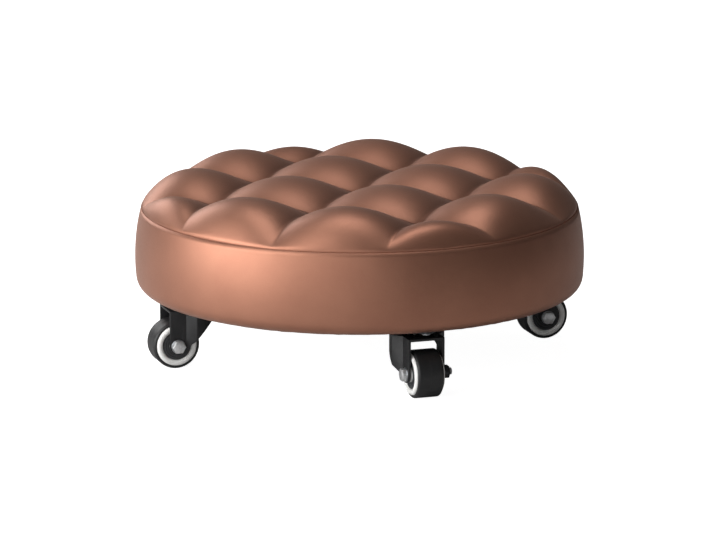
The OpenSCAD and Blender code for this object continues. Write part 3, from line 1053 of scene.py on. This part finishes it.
@dataclass
class DustCover:
    """The thin fleece that closes the underside, pulled tight between its staples.

    Sizes are in millimetres, and heights are counted from the floor.
    """

    radius: float = 168.0
    height: float = 57.4
    thickness: float = 0.5
    staples: int = 32
    sink: float = 0.5
    pucker: float = 0.12  # between the staples
    cells: int = 96

    def build(self) -> Piece:
        """Builds the fleece with a shallow sag and puckers that run in from the staples.

        Returns:
            The new piece.
        """
        mesh = bmesh.new()
        for v in disc_grid(mesh, self.radius, self.cells):
            v.co.z = (self.height + self.thickness + self.sag(v.co / MM)) * MM
        bmesh.ops.recalc_face_normals(mesh, faces=mesh.faces)
        piece = finished("dust_fleece", mesh, FLEECE, "seat", ["dust_cover"])
        thickened(piece, self.thickness)
        return piece

    def sag(self, place: Vector) -> float:
        """Returns how far the fleece stands off the hem at a place, in millimetres.

        Args:
            place: a point of the fleece, in millimetres.
        """
        radius, angle = math.hypot(place.x, place.y), math.atan2(place.y, place.x)
        middle = 1 - smoothstep(20, 130, radius)
        pull = math.cos(angle * self.staples) * smoothstep(118, 150, radius)
        return -self.sink * middle + self.pucker * pull - self.pucker


@dataclass
class PlateScrew:
    """A pan-head screw with a crossed recess, its head below the plate, in millimetres."""

    head_radius: float = 3.5
    head_height: float = 2.2
    dome: float = 0.9  # from the head's crown up to its rim
    slot_half: float = 0.45
    slot_reach: float = 2.1
    slot_depth: float = 1.1
    length: float = 13.0
    shank_radius: float = 1.9
    thread: float = 0.3
    pitch: float = 1.2
    tip_radius: float = 0.6
    taper: float = 0.6  # how much wider the shank gets per millimetre from its tip

    def head(self) -> Mesh:
        """Builds the domed head with its recess.

        Returns:
            The head's shape, at the origin.
        """
        mesh = bmesh.new()
        for v in disc_grid(mesh, self.head_radius, 14):
            dome = (v.co.xy.length / self.head_radius / MM) ** 4
            v.co.z = (self.dome * dome - self.head_height) * MM
        rim = [e for e in mesh.edges if e.is_boundary]
        wall = bmesh.ops.extrude_edge_only(mesh, edges=rim)["geom"]
        for v in (g for g in wall if isinstance(g, bmesh.types.BMVert)):
            v.co.z = 0.0
        recess = []
        for face in mesh.faces:
            middle = face.calc_center_median()
            if min(abs(middle.x), abs(middle.y)) < self.slot_half * MM and (
                middle.xy.length < self.slot_reach * MM
            ):
                recess.append(face)
        sunk = bmesh.ops.extrude_face_region(mesh, geom=recess)["geom"]
        bmesh.ops.delete(mesh, geom=recess, context="FACES")
        floor = [g for g in sunk if isinstance(g, bmesh.types.BMVert)]
        bmesh.ops.translate(mesh, verts=floor, vec=(0, 0, self.slot_depth * MM))
        bmesh.ops.scale(mesh, verts=floor, vec=(0.85, 0.85, 1.0))
        bmesh.ops.recalc_face_normals(mesh, faces=mesh.faces)
        return mesh

    def build(self, place: Matrix) -> Mesh:
        """Builds the screw, with its shank up in the board.

        Args:
            place: the middle of its seat on the plate's underside.

        Returns:
            The screw's shape, in place.
        """
        outline: list[Point] = [(0.0, self.length), (0.5, self.length - 0.1)]
        z = self.length - self.pitch
        while z > self.pitch / 2:
            wide = min(self.shank_radius, self.tip_radius + (self.length - z) * self.taper)
            outline += [(wide, z), (wide - self.thread, z - self.pitch / 2)]
            z -= self.pitch
        outline.append((self.shank_radius, 0.0))
        whole = joined([self.head(), turned(outline, 20, Matrix(), closed=False)])
        bmesh.ops.transform(whole, matrix=place, verts=whole.verts)
        return whole


@dataclass
class Caster:
    """One swivel caster, which trails the way that its corner says.

    Sizes are in millimetres. In its own frame the kingpin stands at the origin, X runs from the
    kingpin to the axle, Y runs along the axle, and heights are counted from the floor.
    """

    corner: Corner
    trail: float = 17.0
    axle_height: float = 20.0
    wheel_radius: float = 20.0
    tyre_half: float = 11.25
    shoulder: float = 2.2
    rim_radius: float = 17.45
    bead: float = 2.6
    hub_half: float = 13.0
    hub_radius: float = 6.5
    chamfer: float = 0.3
    web: float = 3.0  # half its thickness
    bore: float = 4.06
    cover: Point = (6.55, 12.15)  # inner and outer radius
    cover_ends: Point = (10.9, 11.9)  # inner and outer side along the axle
    rings: Point = (10.3, 8.4)
    ring: Point = (0.42, 0.38)  # a ring's half width and its height
    leg_half: float = 15.6  # from the wheel's middle to the outside of a leg
    washer: float = 0.8
    washer_radii: Point = (3.06, 6.0)
    across_flats: float = 10.0
    head_height: float = 3.6
    nut_height: float = 5.0
    bolt_end: float = 2.4  # past the nut
    bolt_radius: float = 3.0
    thread: float = 0.45
    end_chamfer: float = 0.7  # on the hexagons' outer ends
    wall_round: float = 0.25  # on the hexagons' six corners
    plate_low: float = 55.4
    hole_gap: float = 32.0
    screw_turns: Point = (0.7, 1.3)  # the first screw's, and the step to the next, in radians

    def name(self, part: str) -> str:
        """Returns the name of a part, a body or a joint at this caster."""
        return f"{part}_{self.corner.label}"

    def kingpin(self) -> Point:
        """Returns where the kingpin stands in the stool, in metres."""
        swivel = self.name("swivel")
        x, y, _ = next(j["pos_m"] for j in frame["joints"] if j["name"] == swivel)
        return x, y

    def axle(self, side: int) -> Matrix:
        """Returns the axle's place in the stool, with its Z pointing out to one side.

        Args:
            side: 1 or -1, the side in the caster's own frame.
        """
        x, y = self.kingpin()
        pin = Matrix.Translation((x, y, 0)) @ Matrix.Rotation(self.corner.turn, 4, "Z")
        centre = Matrix.Translation((self.trail * MM, 0, self.axle_height * MM))
        return pin @ centre @ Matrix.Rotation(-side * math.pi / 2, 4, "X")

    def piece(
        self, name: str, mesh: Mesh, finish: Finish, body: str, node: str, slot: str,
        crease: float = 30.0,
    ) -> Piece:
        """Finishes one piece of this caster.

        Args:
            name: the piece's name, without the corner.
            mesh: its shape.
            finish: what its surface is.
            body: the seat, or the caster or wheel of this corner.
            node: the CAD node that it replaces, without the corner.
            slot: the record's material slot, which is not used.
            crease: edges that turn by more than this many degrees are drawn sharp.

        Returns:
            The new piece.
        """
        rides = body if body == "seat" else self.name(body)
        return finished(self.name(name), mesh, finish, rides, [self.name(node)], crease)

    def build(self) -> list[Piece]:
        """Builds and dresses every piece of the caster.

        Returns:
            The new pieces.
        """
        made = [
            self.tyre(), self.core(), self.covers(), self.bolt(), self.nut(), self.washers(),
            self.screws(),
        ]
        for node, width, finish, body, slot in (
            ("fork", 0.4, BLACK_STEEL, self.name("caster"), "fork_metal"),
            ("plate", 0.35, PLATE_STEEL, "seat", "plate_metal"),
            ("kingpin", 0.3, DULL_ZINC, "seat", "rivet_steel"),
        ):
            made.append(rounded_copy(self.name(node), width, finish, body))
        dress(self.name("swivel_balls"), BALL_STEEL)
        dress(self.name("axle_sleeve"), DULL_ZINC)
        return made

    def tyre(self) -> Piece:
        """Builds the cast tread with round shoulders and its mould's parting line.

        Returns:
            The new piece.
        """
        r, half, s = self.wheel_radius, self.tyre_half, self.shoulder
        outer = arc((r - s, half - s), (s, s), math.pi / 2, -math.pi / 2, 6)
        outer += [(r, half - s - 2.0), (r, 0.45), (r, 0.25), (r - 0.12, 0.0)]
        outer += [(x, -y) for x, y in reversed(outer[:-1])]
        inner = [(self.rim_radius, -half + 0.4), (self.rim_radius, half - 0.4)]
        mesh = turned([(r - s - 0.2, half)] + outer + inner, 96, self.axle(1))
        return self.piece(
            "cast_tread", mesh, BLACK_TREAD, "wheel", "tyre", "tyre_rubber", crease=40
        )

    def core(self) -> Piece:
        """Builds the moulded wheel with the round beads that show beside the tyre.

        Returns:
            The new piece.
        """
        bead, rim = self.bead, self.rim_radius - 0.05
        inner = rim - 2 * bead
        hub, end, edge, web = self.hub_radius, self.hub_half, self.chamfer, self.web
        half: list[Point] = [
            (self.bore, 0.0), (self.bore, end - edge), (self.bore + edge, end),
            (hub - edge, end), (hub, end - edge), (hub, web + 0.4), (hub + 0.5, web),
            (inner - 0.5, web), (inner, web + 0.4),
            *arc((rim - bead, end - bead), (bead, bead), math.pi, -math.pi, 10),
            (rim, 0.0),
        ]
        outline = half + [(x, -y) for x, y in reversed(half[1:-1])]
        mesh = turned(outline, 96, self.axle(1))
        return self.piece(
            "moulded_wheel", mesh, WHITE_NYLON, "wheel", "wheel_core", "wheel_core_plastic",
            crease=50,
        )

    def covers(self) -> Piece:
        """Builds the two dark hub covers with their raised rings.

        Returns:
            The new piece.
        """
        (inner, outer), (low, high) = self.cover, self.cover_ends
        outline: list[Point] = [
            (inner, low), (outer, low), (outer, high - 0.25), (outer - 0.25, high)
        ]
        for middle in self.rings:
            outline += arc((middle, high), self.ring, 0.0, math.pi, 6)
        outline += [(inner + 0.2, high), (inner, high - 0.2)]
        mesh = joined([turned(outline, 72, self.axle(side)) for side in (1, -1)])
        return self.piece(
            "ringed_covers", mesh, GREY_COVER, "wheel", "hub_covers", "hub_cover_plastic",
            crease=45,
        )

    def hexagon(self, low: float, high: float, side: int) -> Mesh:
        """Builds a hexagon with a corner at the top and its outer end turned off.

        Args:
            low: its inner end along the axle.
            high: its outer end along the axle.
            side: 1 or -1, the side of the wheel.

        Returns:
            The hexagon's shape, in place.
        """
        mesh = bmesh.new()
        radius = self.across_flats / 2 / math.cos(math.pi / 6) * MM
        bmesh.ops.create_cone(
            mesh, cap_ends=True, segments=6, radius1=radius, radius2=radius,
            depth=(high - low) * MM,
        )
        corner_up = Matrix.Rotation(math.pi / 6, 3, "Z")
        bmesh.ops.rotate(mesh, verts=mesh.verts, cent=(0, 0, 0), matrix=corner_up)
        bmesh.ops.translate(mesh, verts=mesh.verts, vec=(0, 0, (low + high) / 2 * MM))
        top = max(mesh.faces, key=lambda f: f.calc_center_median().z)
        bevelled(mesh, list(top.edges), self.end_chamfer)
        walls = [e for e in mesh.edges if abs(e.verts[0].co.z - e.verts[1].co.z) > 1.5 * MM]
        bevelled(mesh, walls, self.wall_round)
        bmesh.ops.transform(mesh, matrix=self.axle(side), verts=mesh.verts)
        return mesh

    def bolt(self) -> Piece:
        """Builds the axle bolt: hex head, plain shank and the thread past the nut.

        Returns:
            The new piece.
        """
        side, r = self.corner.head_side, self.bolt_radius
        seat = self.leg_half + self.washer
        back = seat + self.nut_height + self.bolt_end
        outline: list[Point] = [(0.0, -back), (r - 0.6, -back)]
        z = -back + 0.4
        while z < -seat:
            outline += [(r, z), (r - self.thread, z + 0.5)]
            z += 1.0
        outline += [(r, -seat + 0.3), (r, seat), (0.0, seat)]
        head = self.hexagon(seat, seat + self.head_height, side)
        mesh = joined([head, turned(outline, 36, self.axle(side), closed=False)])
        return self.piece(
            "threaded_bolt", mesh, BRIGHT_ZINC, "caster", "axle_bolt", "bolt_steel"
        )

    def nut(self) -> Piece:
        """Builds the nut on the far end of the axle bolt, which fills its bore.

        Returns:
            The new piece.
        """
        seat = self.leg_half + self.washer
        mesh = self.hexagon(seat, seat + self.nut_height, -self.corner.head_side)
        return self.piece("hex_nut", mesh, DARK_OXIDE, "caster", "axle_nut", "nut_steel")

    def washers(self) -> Piece:
        """Builds the two washers under the head and the nut.

        Returns:
            The new piece.
        """
        inner, outer = self.washer_radii
        low, high = self.leg_half, self.leg_half + self.washer
        outline: list[Point] = [
            (inner, low), (outer - 0.15, low), (outer, low + 0.15), (outer, high - 0.25),
            (outer - 0.25, high), (inner, high),
        ]
        mesh = joined([turned(outline, 48, self.axle(side)) for side in (1, -1)])
        return self.piece(
            "plain_washers", mesh, DULL_ZINC, "caster", "axle_washers", "washer_steel"
        )

    def screws(self) -> Piece:
        """Builds the four plate screws, each turned another way.

        Returns:
            The new piece.
        """
        x0, y0 = self.kingpin()
        half, parts = self.hole_gap / 2 * MM, []
        first, step = self.screw_turns
        for k, (sx, sy) in enumerate(((1, 1), (1, -1), (-1, 1), (-1, -1))):
            spot = Matrix.Translation((x0 + sx * half, y0 + sy * half, self.plate_low * MM))
            parts.append(PlateScrew().build(spot @ Matrix.Rotation(first + step * k, 4, "Z")))
        return self.piece(
            "cross_head_screws", joined(parts), DULL_ZINC, "seat", "plate_screws", "screw_steel"
        )


@dataclass(frozen=True)
class SoftBox:
    """A round soft box that points at the seat."""

    name: str
    azimuth: float  # from the camera's direction to the right, in degrees
    elevation: float  # in degrees
    distance: float  # from the seat, in metres
    width: float  # in metres
    watts: float


@dataclass
class Studio:
    """A plain pale room: white floor, soft light and the photograph's camera."""

    azimuth: float = 26.5  # the camera's turn round the stool, in degrees
    elevation: float = 13.05  # in degrees
    distance: float = 4.0  # from the camera to the point it aims at, in metres
    lens: float = 236.6  # in millimetres, on a sensor of 36 mm
    aim_height: float = 0.0704  # in metres
    aim_side: float = -0.00144  # to the right of the stool's middle, in metres
    lamp_aim: float = 0.1  # the height that the lamps point at, in metres
    ambient: float = 0.05  # the strength of the room's light on the stool
    floor_half: float = 30.0  # half the floor's width, in metres
    paper: float = 0.62  # how much of the light the floor throws back
    glow: float = 0.95  # how white the floor shows itself to the camera
    lamps: tuple[SoftBox, ...] = (
        SoftBox("key_box", -67.0, 8.0, 2.2, 2.1, 56.0),
        SoftBox("top_box", 180.0, 78.0, 2.2, 1.2, 12.0),
        SoftBox("front_top_box", -58.0, 46.0, 2.4, 1.7, 27.0),
        SoftBox("fill_box", -16.0, 10.0, 3.0, 2.2, 17.5),
        SoftBox("rim_box", -145.0, 22.0, 3.0, 1.6, 20.0),
    )

    def aimed(
        self, data: bpy.types.ID, target: Vector, azimuth: float, elevation: float,
        distance: float,
    ) -> Piece:
        """Places a camera or a lamp so that it looks at a point.

        Args:
            data: the camera's or the lamp's data, whose name it takes.
            target: the point, in metres.
            azimuth: the turn round the stool, in degrees.
            elevation: the height angle, in degrees.
            distance: from the point, in metres.

        Returns:
            The camera or lamp.
        """
        a, e = math.radians(azimuth), math.radians(elevation)
        back = Vector((math.sin(a) * math.cos(e), -math.cos(a) * math.cos(e), math.sin(e)))
        thing = bpy.data.objects.new(data.name, data)
        thing.location = target + back * distance
        thing.rotation_euler = (-back).to_track_quat("-Z", "Y").to_euler()
        bpy.context.scene.collection.objects.link(thing)
        return thing

    def camera(self) -> None:
        """Places the camera at the photograph's viewing angle."""
        a = math.radians(self.azimuth)
        right = Vector((math.cos(a), math.sin(a), 0))
        aim = right * self.aim_side + Vector((0, 0, self.aim_height))
        data = bpy.data.cameras.new("camera")
        data.lens = self.lens
        data.sensor_width = 36.0
        data.clip_end = 100.0
        camera = self.aimed(data, aim, self.azimuth, self.elevation, self.distance)
        bpy.context.scene.camera = camera

    def lamp(self, box: SoftBox) -> None:
        """Hangs one soft box that points at the seat.

        Args:
            box: the soft box.
        """
        data = bpy.data.lights.new(box.name, "AREA")
        data.shape = "DISK"
        data.size = box.width
        data.energy = box.watts
        turn, target = self.azimuth + box.azimuth, Vector((0, 0, self.lamp_aim))
        self.aimed(data, target, turn, box.elevation, box.distance)

    def world(self) -> None:
        """Makes the background white to the camera, and dim as a light and in reflections."""
        world = bpy.data.worlds.new("studio")
        sky = Nodes(world)
        seen = sky.add("LightPath").outputs["Is Camera Ray"]
        strength = sky.add("MapRange", {"Value": seen, "To Min": self.ambient, "To Max": 1.0})
        light = sky.add("Background", {"Color": (1, 1, 1, 1), "Strength": strength.outputs[0]})
        sky.add("OutputWorld", {"Surface": light.outputs[0]})
        bpy.context.scene.world = world

    def floor(self) -> None:
        """Lays a white floor that shows only the stool's soft shadow."""
        mesh = bmesh.new()
        bmesh.ops.create_grid(mesh, x_segments=1, y_segments=1, size=self.floor_half)
        data = bpy.data.meshes.new("floor")
        mesh.to_mesh(data)
        mesh.free()
        material = bpy.data.materials.new("white_paper_floor")
        nodes = Nodes(material)
        seen = nodes.add("LightPath").outputs["Is Camera Ray"]
        paper = nodes.add("BsdfDiffuse", {"Color": (self.paper, self.paper, self.paper, 1)})
        glow = nodes.add("Emission", {"Color": (1, 1, 1, 1), "Strength": self.glow})
        shown = nodes.add("MixShader", {"Fac": seen, 2: glow.outputs[0]})
        both = nodes.add("AddShader", {0: paper.outputs[0], 1: shown.outputs[0]})
        nodes.add("OutputMaterial", {"Surface": both.outputs[0]})
        data.materials.append(material)
        floor = bpy.data.objects.new("floor", data)
        bpy.context.scene.collection.objects.link(floor)

    def build(self) -> None:
        """Sets up the camera, the room and its lamps."""
        self.camera()
        self.world()
        self.floor()
        for box in self.lamps:
            self.lamp(box)
        bpy.context.scene.view_settings.view_transform = "Standard"


def main() -> None:
    """Builds the studio and the stool, and reports each piece."""
    logging.basicConfig(level=logging.INFO, format="%(name)s: %(message)s")
    Studio().build()
    log.info("studio ready")
    for maker in (TuftedTop(), SideBand(), FoamBlock(), DustCover()):
        piece = maker.build()
        log.info("%s: %d faces", piece.name, len(piece.data.polygons))
    for node, finish in {
        "backing_cloth": BACKING,
        "tuft_ties": TIE_CORD,
        "seat_board": BOARD,
        "staples": DULL_ZINC,
    }.items():
        dress(node, finish)
    for corner in Corner:
        pieces = Caster(corner).build()
        log.info("caster %s: %d pieces", corner.label, len(pieces))


if __name__ == "__main__":
    main()
